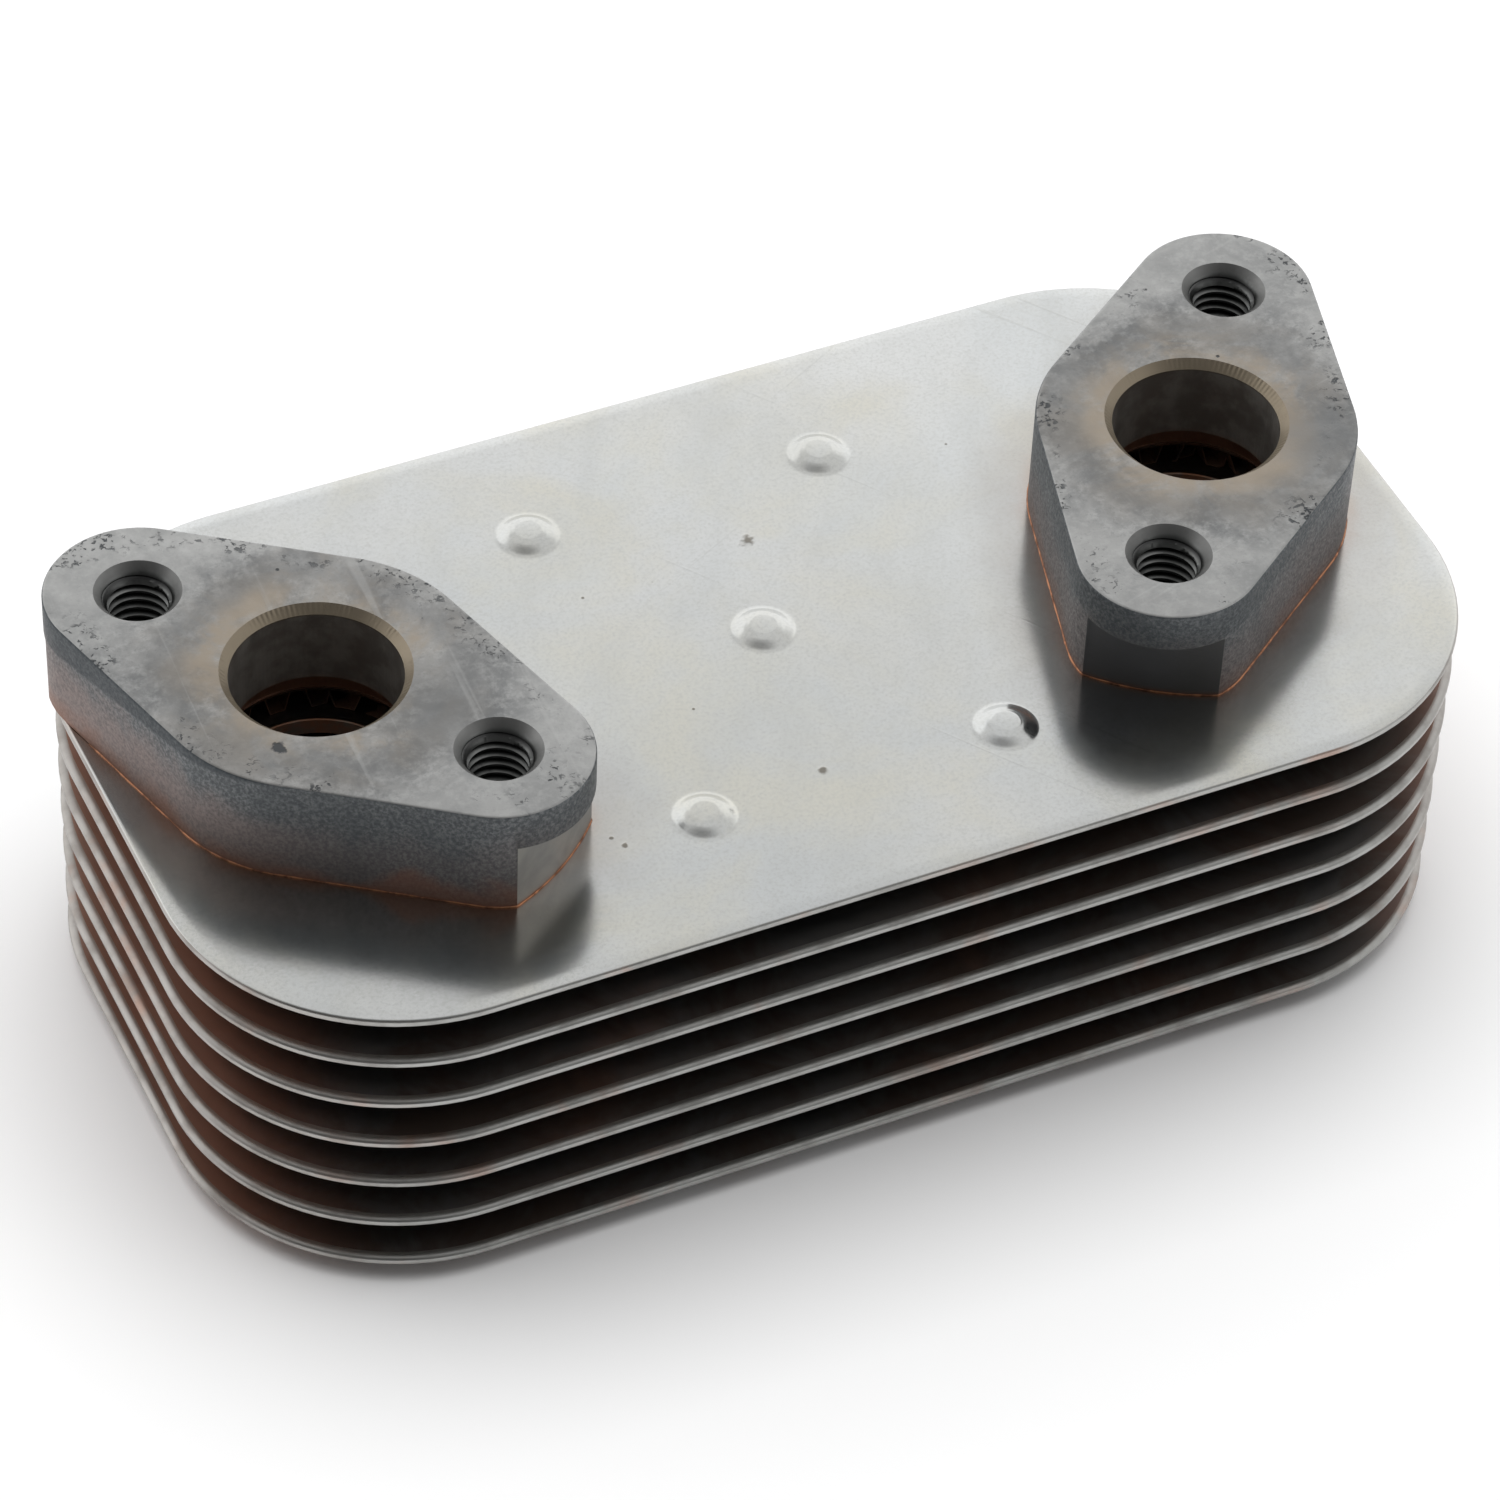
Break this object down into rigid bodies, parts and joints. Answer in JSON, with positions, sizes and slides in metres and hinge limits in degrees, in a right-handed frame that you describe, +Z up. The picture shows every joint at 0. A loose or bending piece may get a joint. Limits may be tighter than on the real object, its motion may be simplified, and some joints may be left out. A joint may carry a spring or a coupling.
{
  "type": "plate heat exchanger",
  "caption": "Brazed stacked-plate heat exchanger: rounded flat plate elements in an open stack, with slanted port flanges, each with a chamfered bore and tapped holes, on the top plate.",
  "frame": {"origin": "on the resting face, below the middle of the plate stack", "axes": "+X along the stack's length, +Y across it, +Z up out of the port flanges"},
  "size_m": [0.1572, 0.0846, 0.0564],
  "materials": {
    "plate_steel": "satin rolled sheet with a faint warm braze film",
    "dish_steel": "satin sheet with a copper film",
    "fin_steel": "thin corrugated sheet, copper tinted",
    "flange_steel": "forged sides, ground top face",
    "ring_steel": "turned ring, copper tinted",
    "braze_copper": null
  },
  "bodies": {
    "root": {"braze_fillet_left": "braze_copper", "braze_fillet_right": "braze_copper", "lower_shell_1": "dish_steel", "lower_shell_2": "dish_steel", "lower_shell_3": "dish_steel", "lower_shell_4": "dish_steel", "lower_shell_5": "dish_steel", "lower_shell_6": "dish_steel", "lower_shell_7": "dish_steel", "port_flange_left": "flange_steel", "port_flange_right": "flange_steel", "spacer_ring_left_1": "ring_steel", "spacer_ring_left_2": "ring_steel", "spacer_ring_left_3": "ring_steel", "spacer_ring_left_4": "ring_steel", "spacer_ring_left_5": "ring_steel", "spacer_ring_left_6": "ring_steel", "spacer_ring_right_1": "ring_steel", "spacer_ring_right_2": "ring_steel", "spacer_ring_right_3": "ring_steel", "spacer_ring_right_4": "ring_steel", "spacer_ring_right_5": "ring_steel", "spacer_ring_right_6": "ring_steel", "turbulator_1": "fin_steel", "turbulator_2": "fin_steel", "turbulator_3": "fin_steel", "turbulator_4": "fin_steel", "turbulator_5": "fin_steel", "turbulator_6": "fin_steel", "turbulator_7": "fin_steel", "upper_shell_1": "plate_steel", "upper_shell_2": "plate_steel", "upper_shell_3": "plate_steel", "upper_shell_4": "plate_steel", "upper_shell_5": "plate_steel", "upper_shell_6": "plate_steel", "upper_shell_7": "plate_steel"}
  },
  "joints": []
}
